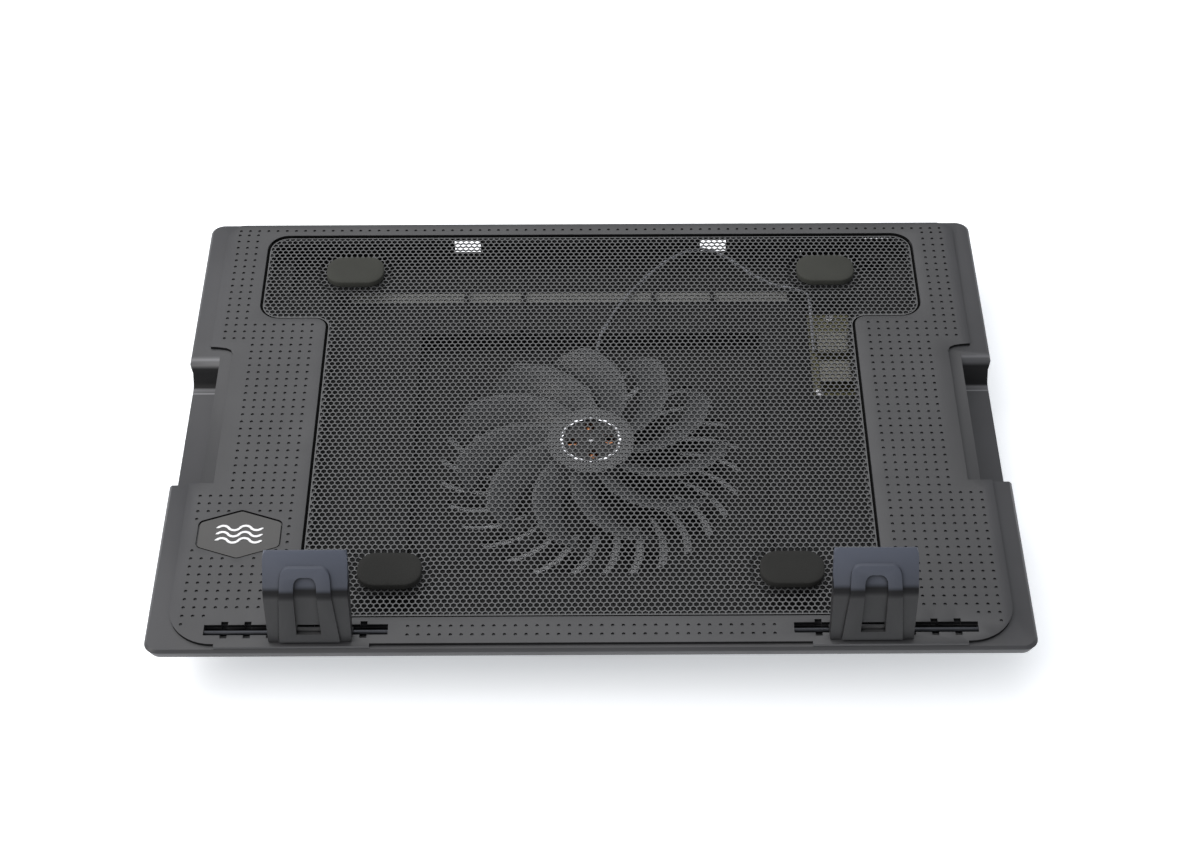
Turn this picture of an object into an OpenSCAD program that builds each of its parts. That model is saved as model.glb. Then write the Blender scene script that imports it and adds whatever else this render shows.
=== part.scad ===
// Laptop cooling pad: a fan deck that tilts on a folding base, with two sliding, folding stoppers.
// Origin: centre of the footprint, on the table. +X right, +Y to the rear, +Z up. Folded flat, stoppers raised.

/* [Deck] */
// Width of the deck across both wings
deck_w = 380; // [378:1:384]
// Depth of the deck from its front edge to its rear edge
deck_d = 272; // [272:1:276]
// Height of the deck's top face above the table, folded flat
top_z = 32; // [32:0.5:34]
// Corner radius of the deck's outline
deck_corner_r = 6; // [5:0.5:8]
// How far the rim reaches below the top face
rim_h = 7; // [6:0.5:8]
// How far the rim leans in from top to bottom
rim_lean = 1.6; // [1.2:0.2:2]
// Step from the raised panel down to the rim
rim_drop = 1.4; // [1:0.1:1.6]

/* [Side recesses] */
// Front end of the lowered strip on each wing
recess_front_y = -41; // [-46:1:-40]
// Rear end of the lowered strip on each wing
recess_rear_y = 42; // [38:1:44]
// Depth of the lowered strip below the top face
recess_drop = 12; // [11:0.5:12]
// Run of the ramp at the strip's rear end
ramp_run = 13; // [10:1:16]

/* [Mesh sheet] */
// Width of the wide rear bar of the T-shaped sheet
mesh_bar_w = 318; // [318:0.5:319]
// Width of the sheet's stem
mesh_stem_w = 252; // [252:0.5:253]
// Thickness of the steel sheet
mesh_t = 0.8; // [0.6:0.1:0.8]
// Pitch of the coarse hexagons over the fan
hex_pitch = 9; // [8:0.5:12]

/* [Fan] */
// Radius of the rotor over the blade tips
rotor_r = 62.5; // [58:0.5:64]
// Number of blades
blade_count = 11; // [7:1:13]
// Number of curved fins in the intake
fin_count = 30; // [24:1:32]

/* [Stoppers] */
// Width of each stopper
stopper_w = 35.4; // [34:0.2:36]
// Distance of each stopper's centre from the middle of the deck
stopper_x = 119; // [117:1:121]
// Pitch of the cross notches along each slot
notch_pitch = 9.9; // [9:0.1:10]

/* [Base and leg] */
// Distance from the front hinge to the leg's pivot, and from there to its foot bar
link_len = 100; // [98:0.5:101]
// Largest tilt of the deck in degrees
tilt_max = 35; // [30:1:36]
// Number of height notches in each rack
rack_steps = 5; // [3:1:5]

/* [Hidden] */
$fn = 48;
EPS = 0.01;

// Shell and sheet
wall = 2;
plate_z = top_z - 3;            // underside of the deck's plate
edge_r = 1.2;                   // softened upper edge of the rim
mesh_top_z = top_z - 0.8;
mesh_low_z = mesh_top_z - mesh_t;
mesh_rear_y = 124.5;
mesh_bar_front_y = 67.3;
mesh_front_y = -117.6;
mesh_corner_r = 9;
mesh_inner_r = 7;
mesh_gap = 1.3;                 // groove round the sheet
mesh_groove_z = plate_z + 0.7;
seat_w = 2;                     // ledge that the sheet lies on
plateau_x = 181;
plateau_recess_x = 170;
strip_x = 176;                  // inner edge of the lowered strip
strip_out_x = 188.8;
strip_t = 2;
// The ramp: [share of its run left to go, share of its rise]
ramp_curve = [
    [1, 0], [0.88, 0.02], [0.785, 0.085], [0.72, 0.19], [0.54, 0.6],
    [0.46, 0.745], [0.37, 0.86], [0.25, 0.943], [0.12, 0.986], [0, 1]
];

// Tray
tray_grow = 3;
tray_flange = 9;
floor_z = 18.5;                 // underside of the shallow floor
well_z = 10;                    // underside of the fan well
well_x = 84;
well_front_y = -88;
well_rear_y = 68;
trough_z = 12;
trough_front_y = 93;
trough_rear_y = 128;
trough_x = 150;
window_x = 61.6;
window_w = 13;
window_low_z = top_z - 13.4;
window_high_z = top_z - 4;
slit_x = 142.9;
slit_z = [top_z - 5.7, top_z - 3.3];
body_corner_y = 75;             // where the wide rear part of the tray starts
pocket_x = 103.5;               // pocket for the USB board
pocket_z = 13;
pocket_front_y = 21;
ledge_x = [-118, 97];
ledge_rear_y = 101;
ledge_z = 17;

// Fan
fan_y = -12;
hub_r = 20;
hub_top_z = 28.4;
blade_high_z = 27.6;
blade_low_z = 17.6;
blade_t = 1.2;
blade_sweep = 34;               // degrees by which the tip leads the root
yoke_r = 14;
coil_ring_r = 8.6;
coil_z = 23.1;
core_r = 6;
coil_count = 4;
shaft_r = 1.5;
bearing_r = 3;
boss_r = 4.4;
boss_h = 13;
yoke_t = 1.2;
yoke_top_z = 28.7;
grille_in_r = 42;
grille_out_r = 70;

// Electronics
board_x = [106, 126.3];
board_y = [24, 81];
board_z = 17;
board_t = 1.6;
socket_x = 109.2;
socket_len = 17.4;
socket_w = 13.6;
socket_h = 6.2;
socket_y = [55.8, 35.5];         // rear, front
wire_r = 0.8;
wire_route = [
    [0, 8, 14], [0, 22, 13.4], [1, 40, 13.4], [2, 54, 14.4], [3.4, 60, 17.6], [5, 65, 21.6], [8, 71, 22.4],
    [12, 80, 22.5],
    [19, 92, 23], [28, 104, 23.4], [38, 115, 23.8], [48, 121.5, 24], [56, 123.7, 23.8], [64, 121, 23.5],
    [72, 114, 23.3], [80, 105.5, 23], [90, 98, 23], [98, 95.5, 23.2], [104, 93, 23.4], [107, 90, 23.6],
    [107.6, 84, 23.2], [107.6, 76, 22.4], [107.6, 68, 21.6], [107.6, 60, 20.8], [107.8, 54, 19.7]
];

switch_x = 142;
switch_z = 17.8;
inlet_x = 110;
inlet_z = 16;
// Screws under the deck and on the board
flange_screws = [for (s = [-1, 1]) each [
    [s * 132.2, -100], [s * 132.2, -40], [s * 132.2, 16], [s * 152, 61.3], [s * 165.2, 100]
]];
board_posts = [[108.6, 26.4], [116.8, 77.4]];

// Pads: [x, y] of each pad's centre
pad_size = [28, 18.6];
pad_r = 7.4;
pad_h = 3;
pad_front = [87.6, -93.4];
pad_rear = [115.4, 98.4];

// Stoppers: y and z are from the rod's centre
rod_y = -125.5;
rod_z = top_z - 2.2;
rod_r = 1.3;
sleeve_in_r = 1.35;
sleeve_out_r = 1.75;
barrel_in_r = 1.8;
barrel_out_r = 2.6;
slot_w = 5.6;
slot_x = [86.5, 165];
notch_w = 3;
notch_l = 9;
notch_first_x = 156.3;
notch_count = 7;
rod_x = [83.5, 168];
shell_t = 2;
foot_pt = [-6.8, 2.6];
bend_pt = [-3.4, 29.2];
tip_pt = [9.4, 43.1];
bend_r = 8;
arch_w = [25.8, 21];              // at the foot and at the crown
arch_r = 3.6;
arch_span = [3.4, 38.3];
arch_raise = 1.2;
recess_w = [10.4, 9.6];
recess_r = 3;
recess_span = [8, 35.5];
recess_g = -0.4;                // the recess's floor, from the slab's face
foot_slit_w = 9.8;              // slit through the foot of the recess
foot_slit_z = [8.5, 12];
tip_r = 3;
badge_pos = [-155.3, -71.4];
badge_gap = 0.7;
wave_r = 3;
wave_sink = 1.7;                // how far the centre of each arc lies below the wave's middle line
wave_stroke = 1.1;
wave_reach = sqrt(wave_r * wave_r - wave_sink * wave_sink);
pan_floor_t = 0.9;              // floor of the closed slots

// Base and leg
hinge_y = -114;
hinge_z = 14;
pivot_y = hinge_y + link_len;
foot_y = pivot_y + link_len;
pin_r = 2;
pin_gap = 0.05;
hinge_x = 75;
knuckle_w = 7.4;
ear_w = 4;
rail_x = [96, 112];
rack_w = 7;
frame_front_y = -106;
frame_rear_y = 118;
frame_z = 2;
rack_z = 10;
rest_z = 11.8;                  // top of the pads that the folded tray rests on
arm_x = [85.2, 93.2];
arm_h = 7;
bar_r = 3.4;
bar_x = 102.4;
foot_size = [16, 8];
foot_pos = [107, -97, 109];

// ---------- plane shapes ----------

module rounded_rect(w, d, r) {
    square([w - 2 * r, d], center = true);
    square([w, d - 2 * r], center = true);
    for (x = [-1, 1], y = [-1, 1])
        translate([x * (w / 2 - r), y * (d / 2 - r)]) circle(r);
}

// Both sides of a shape that is drawn on the right
module both_sides() {
    children();
    mirror([1, 0]) children();
}

// T-shaped outline of the mesh sheet, grown by g
module mesh_outline(g) {
    bar_d = mesh_rear_y - mesh_bar_front_y;
    stem_d = mesh_rear_y - mesh_front_y;
    translate([0, (mesh_rear_y + mesh_bar_front_y) / 2])
        rounded_rect(mesh_bar_w + 2 * g, bar_d + 2 * g, mesh_corner_r + g);
    translate([0, (mesh_rear_y + mesh_front_y) / 2])
        rounded_rect(mesh_stem_w + 2 * g, stem_d + 2 * g, mesh_inner_r + g);
    if (g < mesh_inner_r)
        both_sides() translate([mesh_stem_w / 2 + g, mesh_bar_front_y - g]) inner_fillet(mesh_inner_r - g);
}

// Fills the inside corner between a wall on the left and a wall above
module inner_fillet(r) {
    difference() {
        translate([-EPS, -r]) square([r + EPS, r + EPS]);
        translate([r, -r]) circle(r);
    }
}

// Raised panel of the deck, narrower beside the lowered strips
module plateau_outline() {
    front_r = 20;
    rear_r = 8;
    edge_front_y = -133;
    edge_rear_y = 133.6;
    difference() {
        union() {
            translate([-plateau_x, edge_front_y + front_r])
                square([2 * plateau_x, edge_rear_y - rear_r - edge_front_y - front_r]);
            translate([-plateau_x + front_r, edge_front_y])
                square([2 * (plateau_x - front_r), edge_rear_y - edge_front_y - rear_r]);
            translate([-plateau_x + rear_r, 0]) square([2 * (plateau_x - rear_r), edge_rear_y]);
            both_sides() {
                translate([plateau_x - front_r, edge_front_y + front_r]) circle(front_r);
                translate([plateau_x - rear_r, edge_rear_y - rear_r]) circle(rear_r);
            }
            both_sides() translate([94, -134.6]) square([66, 4]);
        }
        both_sides() polygon([
            [plateau_recess_x, recess_front_y], [plateau_recess_x, recess_rear_y],
            [plateau_recess_x + 1, recess_rear_y + 2.4], [plateau_recess_x + 3.4, recess_rear_y + 3.8],
            [plateau_recess_x + 8, recess_rear_y + 4.6], [plateau_x + 5, recess_rear_y + 5], [plateau_x + 5, recess_front_y]
        ]);
    }
}

// Hexagon with upright sides and rounded corners for the badge
module badge_outline(g) {
    corner_r = 2.4;
    hull() for (p = [[15.6, 5.3], [0, 11]], x = [-1, 1], y = [-1, 1])
        translate([x * p[0], y * p[1]]) circle(corner_r + g);
}

// ---------- deck ----------

// One level of the drafted outer shape
module deck_level(inset, z) {
    translate([0, 0, z]) linear_extrude(EPS)
        rounded_rect(deck_w - 2 * inset, deck_d - 2 * inset, deck_corner_r - inset / 2, $fn = 32);
}

module deck_outer() {
    hull() {
        deck_level(edge_r, top_z - rim_drop - EPS);
        deck_level(0, top_z - rim_drop - edge_r);
        deck_level(rim_lean, top_z - rim_h);
    }
}

module deck_cavity() {
    hull() {
        deck_level(wall + 1.4, plate_z - EPS);
        deck_level(rim_lean + wall, top_z - rim_h - 1);
    }
}

// Side view of the lowered strip's upper face, closed off at z = high
function strip_top(high) = concat(
    [[recess_front_y, high], [recess_front_y, top_z - recess_drop]],
    [for (p = ramp_curve)
        [recess_rear_y - ramp_run * p[0], top_z - recess_drop + (recess_drop - rim_drop) * p[1]]],
    [[recess_rear_y, high]]
);

// Shell of the lowered strip: its floor, ramp, front wall and inner wall
module strip_shell() {
    side = [
        [recess_front_y - strip_t, plate_z + EPS], [recess_front_y - strip_t, top_z - recess_drop - strip_t],
        [recess_rear_y - ramp_run + 3.6, top_z - recess_drop - strip_t],
        [recess_rear_y - ramp_run + 9.6, plate_z + EPS]
    ];
    translate([strip_x - strip_t, 0, 0]) rotate([90, 0, 90]) linear_extrude(strip_out_x - strip_x + strip_t)
        polygon(side);
}

// Space above the lowered strip, with a ramp at its rear end
module recess_cut() {
    translate([strip_x, 0, 0]) rotate([90, 0, 90]) linear_extrude(deck_w / 2) polygon(strip_top(top_z + 1));
}

module slot_outline() {
    translate([slot_x[0], rod_y - slot_w / 2]) square([slot_x[1] - slot_x[0], slot_w]);
    for (i = [0:notch_count - 1])
        translate([notch_first_x - i * notch_pitch - notch_w / 2, rod_y - notch_l / 2]) square([notch_w, notch_l]);
}

// Pan that closes a stopper's slot from below; its ends hold the rod
module slot_pan() {
    pan_z = top_z - rim_h;
    front_y = rod_y - notch_l / 2;
    rear_y = rod_y + notch_l / 2 - 0.4;
    rear_t = 0.7;
    difference() {
        translate([rod_x[0] - 1, front_y - 1, pan_z])
            cube([slot_x[1] - rod_x[0] + 5, rear_y + rear_t - front_y + 1, plate_z - pan_z + EPS]);
        translate([slot_x[0], front_y, pan_z + pan_floor_t]) cube([slot_x[1] - slot_x[0], rear_y - front_y, 8]);
    }
}

// Groove round the mesh sheet, deeper than the sheet's seat
module mesh_groove() {
    translate([0, 0, mesh_groove_z]) linear_extrude(5) difference() {
        mesh_outline(mesh_gap);
        mesh_outline(-0.3);
    }
}

module on_both_wings() {
    children();
    mirror([1, 0, 0]) children();
}

module deck() {
    color([0.33, 0.33, 0.35]) difference() {
        union() {
            difference() {
                deck_outer();
                deck_cavity();
            }
            on_both_wings() strip_shell();
            translate([0, 0, plate_z + 0.5]) linear_extrude(top_z - plate_z - 0.5) plateau_outline();
            on_both_wings() slot_pan();
        }
        on_both_wings() recess_cut();
        translate([0, 0, mesh_low_z]) linear_extrude(5) mesh_outline(mesh_gap);
        mesh_groove();
        translate([0, 0, 0]) linear_extrude(top_z) mesh_outline(-seat_w);
        on_both_wings() translate([0, 0, plate_z - 1]) linear_extrude(6) slot_outline();
        on_both_wings() rod_hole();
        translate([badge_pos[0], badge_pos[1], top_z - 1.3]) linear_extrude(3) badge_outline(badge_gap);
        for (x = [-window_x, window_x, slit_x]) translate([x - window_w / 2 - 1, 116, plate_z - 1])
            cube([window_w + 2, 10.3, mesh_low_z - plate_z + 1]);
        translate([slit_x - window_w / 2 - 1, 130, top_z - rim_h - 1]) cube([window_w + 2, 10, plate_z - top_z + rim_h]);
        for (p = flange_screws) translate([p[0], p[1], plate_z - 1]) cylinder(r = 1.3, h = 3);
    }
}

module rod_hole() {
    translate([rod_x[0], rod_y, rod_z]) rotate([0, 90, 0]) cylinder(r = rod_r + 0.02, h = rod_x[1] - rod_x[0]);
}

// ---------- mesh sheet ----------

module mesh_panel() {
    reach = 64;
    columns = floor(reach / hex_pitch) + 1;
    row_pitch = hex_pitch * sqrt(3) / 2;
    rows = floor(reach / row_pitch) + 1;
    color([0.12, 0.12, 0.13]) translate([0, 0, mesh_low_z]) linear_extrude(mesh_t) difference() {
        mesh_outline(0);
        for (j = [-rows:rows], i = [-columns:columns]) {
            x = (i + (j % 2 == 0 ? 0 : 0.5)) * hex_pitch;
            y = j * row_pitch;
            if (norm([x, y]) < reach) translate([x, y + fan_y]) rotate(30) circle(hex_pitch * 0.47, $fn = 6);
        }
    }
}

// ---------- tray ----------

// A crescent slot of the intake, between two arcs, on the ring between its inner and outer radius
module intake_slot() {
    intersection() {
        difference() {
            circle(grille_out_r);
            circle(grille_in_r);
        }
        difference() {
            translate([38, -36]) circle(36);
            translate([34.6, -39.4]) circle(37);
        }
        translate([30, -20]) square([50, 40]);
    }
}

module intake_openings() {
    for (i = [0:fin_count - 1]) rotate(i * 360 / fin_count) intake_slot();
}

module well_box(inset, z) {
    translate([-well_x + inset, well_front_y + inset, z])
        cube([2 * (well_x - inset), well_rear_y - well_front_y - 2 * inset, plate_z - z]);
}

module trough_box(inset, z) {
    translate([-trough_x + inset, trough_front_y + inset, z])
        cube([2 * (trough_x - inset), trough_rear_y - trough_front_y - 2 * inset, plate_z - z]);
}

// Outline of the tray's walls, grown by g over the walls' outer faces
module body_outline(g) {
    half_w = mesh_stem_w / 2 + tray_grow + g;
    front_y = mesh_front_y - tray_grow - g;
    rear_y = trough_rear_y + g;
    bar_front_y = body_corner_y - g;
    translate([0, (front_y + rear_y) / 2]) rounded_rect(2 * half_w, rear_y - front_y, 8 + g);
    translate([0, (bar_front_y + rear_y) / 2])
        rounded_rect(mesh_bar_w + 2 * (tray_grow + g), rear_y - bar_front_y, 10 + g);
    both_sides() translate([half_w, bar_front_y]) inner_fillet(5 - g);
}

module tray_flange() {
    translate([0, 0, plate_z - wall]) linear_extrude(wall) difference() {
        intersection() {
            mesh_outline(tray_flange);
            translate([-200, mesh_front_y - tray_grow]) square([400, trough_rear_y - mesh_front_y + tray_grow]);
        }
        body_outline(-EPS);
    }
}

module hinge_knuckle() {
    translate([-knuckle_w / 2, hinge_y, hinge_z]) rotate([0, 90, 0]) cylinder(r = 4, h = knuckle_w);
    translate([-knuckle_w / 2, hinge_y - 4, hinge_z]) cube([knuckle_w, 8, floor_z + 1 - hinge_z]);
}

module socket_mouth(y) {
    translate([mesh_stem_w / 2, y - socket_w / 2 - 0.4, board_z + board_t - 0.3])
        cube([6, socket_w + 0.8, socket_h + 0.7]);
}

// Pocket below the tray's floor that holds the USB board
module pocket_box(inset, z) {
    translate([pocket_x + inset, pocket_front_y + inset, z])
        cube([mesh_stem_w / 2 + tray_grow - pocket_x - 2 * inset, trough_front_y + 1 - pocket_front_y, plate_z - z]);
}

module tray_shell() {
    difference() {
        union() {
            translate([0, 0, floor_z]) linear_extrude(plate_z - floor_z) body_outline(0);
            well_box(0, well_z);
            trough_box(0, trough_z);
            pocket_box(0, pocket_z);
        }
        translate([0, 0, floor_z + wall]) linear_extrude(20) body_outline(-wall);
        well_box(wall, well_z + wall);
        trough_box(wall, trough_z + wall);
        pocket_box(wall, pocket_z + wall);
    }
}

module rear_openings() {
    for (x = [-window_x, window_x]) translate([x - window_w / 2, 122, window_low_z])
        cube([window_w, 8, window_high_z - window_low_z]);
    translate([slit_x - window_w / 2, 122, slit_z[0]]) cube([window_w, 8, slit_z[1] - slit_z[0]]);
    translate([switch_x - 4, 122, switch_z - 1.7]) cube([8, 8, 3.4]);
    translate([inlet_x - 4.2, 122, inlet_z - 0.2]) cube([8.4, 8, 4.4]);
}

module tray() {
    color([0.16, 0.16, 0.17]) difference() {
        union() {
            tray_shell();
            tray_flange();
            for (x = [-hinge_x, hinge_x]) translate([x, 0, 0]) hinge_knuckle();
            translate([ledge_x[0], trough_front_y, trough_z])
                cube([ledge_x[1] - ledge_x[0], ledge_rear_y - trough_front_y, ledge_z - trough_z]);
            for (x = [-61, -33, 31, 60])
                translate([x - 1, well_rear_y - wall, floor_z + 1]) cube([2, trough_front_y - well_rear_y + 4, 4]);
            translate([inlet_x - 5, 116, trough_z + 1]) cube([10, 11, inlet_z - trough_z - 1]);
            for (p = board_posts) translate([p[0], p[1], pocket_z + 1]) cylinder(r = 2.6, h = board_z - pocket_z - 1);
        }
        translate([0, fan_y, well_z - 1]) linear_extrude(wall + 2) intake_openings();
        for (x = [-hinge_x, hinge_x]) translate([x - knuckle_w / 2 - 1, hinge_y, hinge_z])
            rotate([0, 90, 0]) cylinder(r = pin_r + pin_gap, h = knuckle_w + 2);
        for (s = [-1, 1]) translate([s * (well_x - 1), pivot_y, hinge_z])
            rotate([0, 90, 0]) cylinder(r = pin_r + 0.02, h = 6, center = true);
        rear_openings();
        for (y = socket_y) socket_mouth(y);
        for (p = flange_screws) translate([p[0], p[1], plate_z - wall - 1]) cylinder(r = 1.5, h = wall + 2);
        for (p = board_posts) translate([p[0], p[1], pocket_z + 1]) cylinder(r = 1, h = 4);
        for (i = [0:2]) translate([0, fan_y, well_z - 1]) rotate(90 + 120 * i) translate([14.5, 0, 0])
            cylinder(r = 1.2, h = wall + 2);
    }
}

// Pan-head screw, head downwards, its head's face at z = 0
module screw(head_r, head_h, shank_r, len) {
    difference() {
        translate([0, 0, -head_h]) cylinder(r = head_r, h = head_h);
        for (a = [0, 90]) rotate(a) translate([-head_r * 0.6, -0.3, -head_h - 1]) cube([head_r * 1.2, 0.6, 1.6]);
    }
    translate([0, 0, -EPS]) cylinder(r = shank_r, h = len);
}

module tray_screws() {
    color([0.55, 0.55, 0.57])
        for (p = flange_screws) translate([p[0], p[1], plate_z - wall]) screw(2.6, 1.6, 1.25, 3.8);
}

// ---------- badge and pads ----------

module badge_plate() {
    color([0.2, 0.2, 0.19]) translate([badge_pos[0], badge_pos[1], top_z - 1.3]) linear_extrude(1) badge_outline(0);
}

// Three flowing waves, one above the other
module badge_mark() {
    color([0.92, 0.92, 0.92]) translate([badge_pos[0], badge_pos[1], top_z - 0.3]) linear_extrude(0.25)
        for (y = [-3.6, 0, 3.6], i = [0:3])
            translate([(i - 1.5) * 2 * wave_reach, y]) mirror([0, i % 2]) wave_arc();
}

// Part of a ring above the X axis
module wave_arc() {
    difference() {
        translate([0, -wave_sink]) circle(wave_r + wave_stroke / 2);
        translate([0, -wave_sink]) circle(wave_r - wave_stroke / 2);
        translate([-10, -20]) square([20, 20]);
    }
}

module pad_at(x, y) {
    color([0.15, 0.15, 0.13]) translate([x, y, mesh_top_z]) linear_extrude(pad_h)
        rounded_rect(pad_size[0], pad_size[1], pad_r);
}

// ---------- stoppers ----------

function along(a, b) = (b - a) / norm(b - a);
function left_of(d) = [-d[1], d[0]];
function angle_of(v) = atan2(v[1], v[0]);

// The stopper's outer curve from foot to tip, moved out by g
function stopper_curve(g) =
    let (
        d1 = along(foot_pt, bend_pt), d2 = along(bend_pt, tip_pt),
        n1 = left_of(d1), n2 = left_of(d2),
        turn = angle_of(d1) - angle_of(d2), reach = bend_r * tan(turn / 2),
        centre = bend_pt - reach * d1 - bend_r * n1
    ) concat(
        [foot_pt + g * n1],
        [for (i = [0:6]) centre + (bend_r + g) * [cos(angle_of(n1) - turn * i / 6), sin(angle_of(n1) - turn * i / 6)]],
        [tip_pt + g * n2]
    );

function reversed(list) = [for (i = [len(list) - 1:-1:0]) list[i]];

// A slab that follows the stopper's curve, from depth g0 to g1, w wide
module stopper_slab(g0, g1, w) {
    rotate([90, 0, 90]) linear_extrude(w, center = true)
        polygon(concat(stopper_curve(g1), reversed(stopper_curve(g0))));
}

// An arch standing in the XZ plane, w = widths and span = heights of its foot and crown
module arch_prism(w, r, span) {
    corner = [for (a = [0:22.5:90]) [w[1] / 2 - r + r * cos(a), span[1] - r + r * sin(a)]];
    half = concat([[w[0] / 2, span[0]]], corner);
    rotate([90, 0, 0]) linear_extrude(40, center = true)
        polygon(concat(half, [for (p = reversed(half)) [-p[0], p[1]]]));
}

// A side cheek of the stopper, which carries the barrel
module cheek(x) {
    curve = stopper_curve(-shell_t / 2);
    bend = [for (i = [1:len(curve) - 2]) curve[i]];
    translate([x, 0, 0]) rotate([90, 0, 90]) linear_extrude(wall, center = true)
        polygon(concat(
            [[-5.6, 3.2]], bend, [[9.6, 41.9], [6.4, 30.4], [-1.3, 3.8], [-0.2, 2.4], [-2.2, 1.2], [-3, 2.6]]
        ));
}

module stopper() {
    difference() {
        union() {
            intersection() {
                union() {
                    stopper_slab(-shell_t, 0, stopper_w);
                    for (x = [-1, 1]) cheek(x * (stopper_w - wall) / 2);
                }
                arch_prism([stopper_w, stopper_w], tip_r, [-10, tip_pt[1] + 0.2]);
            }
            intersection() {
                stopper_slab(-1, arch_raise, stopper_w);
                arch_prism(arch_w, arch_r, arch_span);
            }
            rotate([0, 90, 0]) cylinder(r = barrel_out_r, h = stopper_w, center = true);
        }
        intersection() {
            stopper_slab(recess_g, 4, stopper_w);
            arch_prism(recess_w, recess_r, recess_span);
        }
        translate([-foot_slit_w / 2, -20, foot_slit_z[0]]) cube([foot_slit_w, 18, foot_slit_z[1] - foot_slit_z[0]]);
        rotate([0, 90, 0]) cylinder(r = barrel_in_r, h = stopper_w + 2, center = true);
    }
}

module stopper_at(side) {
    color([0.22, 0.23, 0.25]) translate([side * stopper_x, rod_y, rod_z]) stopper();
}

module stopper_rod(side) {
    len = rod_x[1] - rod_x[0];
    color([0.3, 0.31, 0.33]) translate([side * (rod_x[0] + len / 2), rod_y, rod_z])
        rotate([0, 90, 0]) cylinder(r = rod_r, h = len, center = true);
}

module stopper_sleeve(side) {
    color([0.8, 0.8, 0.76]) translate([side * stopper_x, rod_y, rod_z]) rotate([0, 90, 0]) difference() {
        cylinder(r = sleeve_out_r, h = stopper_w - 1, center = true);
        cylinder(r = sleeve_in_r, h = stopper_w + 1, center = true);
    }
}

// ---------- fan ----------

module motor_base() {
    color([0.14, 0.14, 0.15]) translate([0, fan_y, well_z + wall]) difference() {
        union() {
            cylinder(r = 18, h = 2);
            cylinder(r = boss_r, h = boss_h);
        }
        translate([0, 0, 1]) cylinder(r = bearing_r + 0.02, h = boss_h);
        for (i = [0:2]) rotate(90 + 120 * i) translate([14.5, 0, -1]) cylinder(r = 1.2, h = 5);
    }
}

module motor_screws() {
    color([0.55, 0.55, 0.57]) for (i = [0:2]) translate([0, fan_y, 0]) rotate(90 + 120 * i)
        translate([14.5, 0, well_z]) screw(2, 1.2, 1.15, 3.6);
}

// One wound pole: a coil on its core
module coil() {
    translate([coil_ring_r, 0, 0]) rotate([0, 90, 0]) difference() {
        cylinder(r = 3, h = 4.6, center = true);
        cylinder(r = 1, h = 6, center = true);
    }
}

module motor_coils() {
    color([0.75, 0.38, 0.18]) translate([0, fan_y, coil_z])
        for (i = [0:coil_count - 1]) rotate(5 + 360 / coil_count * i) coil();
}

// Sleeve on the boss with one pole for each coil
module stator_core() {
    color([0.45, 0.45, 0.47]) translate([0, fan_y, coil_z]) difference() {
        union() {
            cylinder(r = core_r, h = 5, center = true);
            for (i = [0:coil_count - 1]) rotate(5 + 360 / coil_count * i) {
                rotate([0, 90, 0]) cylinder(r = 0.97, h = 11.6);
                translate([11.2, -2.5, -3]) cube([0.8, 5, 6]);
            }
        }
        cylinder(r = boss_r + 0.02, h = 8, center = true);
    }
}

module fan_bearing() {
    color([0.7, 0.58, 0.35]) translate([0, fan_y, well_z + wall + 1]) difference() {
        cylinder(r = bearing_r, h = 9);
        translate([0, 0, 1]) cylinder(r = shaft_r + pin_gap, h = 9);
    }
}

module fan_shaft() {
    color([0.8, 0.8, 0.82]) translate([0, fan_y, well_z + wall + 2.2]) cylinder(r = shaft_r, h = hub_top_z - 15);
}

// A blade section at radius share s and chord share u, from the edge that trails to the edge that leads
function blade_point(s, u, side) =
    let (
        r = 19 + s * (rotor_r - 19),
        chord = 12 + 8 * s,
        a = blade_sweep * pow(s, 1.5) + (u - 0.5) * chord / r * 57.3,
        camber = 1.2 * sin(180 * u),
        z = blade_high_z - blade_t + (blade_low_z - blade_high_z + blade_t) * u + camber + side * blade_t
    ) [r * cos(a), r * sin(a), z];

module blade() {
    n = 6;
    m = 4;
    row = m + 1;
    layer = (n + 1) * row;
    points = [for (side = [0, 1], i = [0:n], j = [0:m]) blade_point(i / n, j / m, side)];
    low = [for (i = [0:n - 1], j = [0:m - 1])
        let (a = i * row + j) each [[a, a + row + 1, a + 1], [a, a + row, a + row + 1]]];
    rim = concat(
        [for (j = [0:m]) j], [for (i = [1:n]) i * row + m],
        [for (j = [m - 1:-1:0]) n * row + j], [for (i = [n - 1:-1:1]) i * row]
    );
    sides = [for (k = [0:len(rim) - 1])
        let (a = rim[k], b = rim[(k + 1) % len(rim)]) each [[a, b, a + layer], [b, b + layer, a + layer]]];
    high = [for (f = low) [f[0] + layer, f[2] + layer, f[1] + layer]];
    polyhedron(points = points, faces = concat(low, high, sides));
}

module fan_hub() {
    color([0.45, 0.46, 0.5]) translate([0, fan_y, 0]) difference() {
        translate([0, 0, blade_low_z]) cylinder(r = hub_r, h = hub_top_z - blade_low_z);
        translate([0, 0, blade_low_z - 1]) cylinder(r = hub_r - 2, h = hub_top_z - blade_low_z - 1);
        translate([0, 0, blade_low_z]) cylinder(r = yoke_r + 0.02, h = 20);
    }
}

module fan_blades() {
    color([0.45, 0.46, 0.5]) translate([0, fan_y, 0])
        for (i = [0:blade_count - 1]) rotate(i * 360 / blade_count) blade();
}

module rotor_yoke() {
    color([0.8, 0.8, 0.82]) translate([0, fan_y, 0]) difference() {
        translate([0, 0, blade_low_z - 0.4]) cylinder(r = yoke_r, h = yoke_top_z - blade_low_z + 0.4);
        translate([0, 0, blade_low_z - 1]) cylinder(r = yoke_r - yoke_t, h = 20);
    }
}

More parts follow.
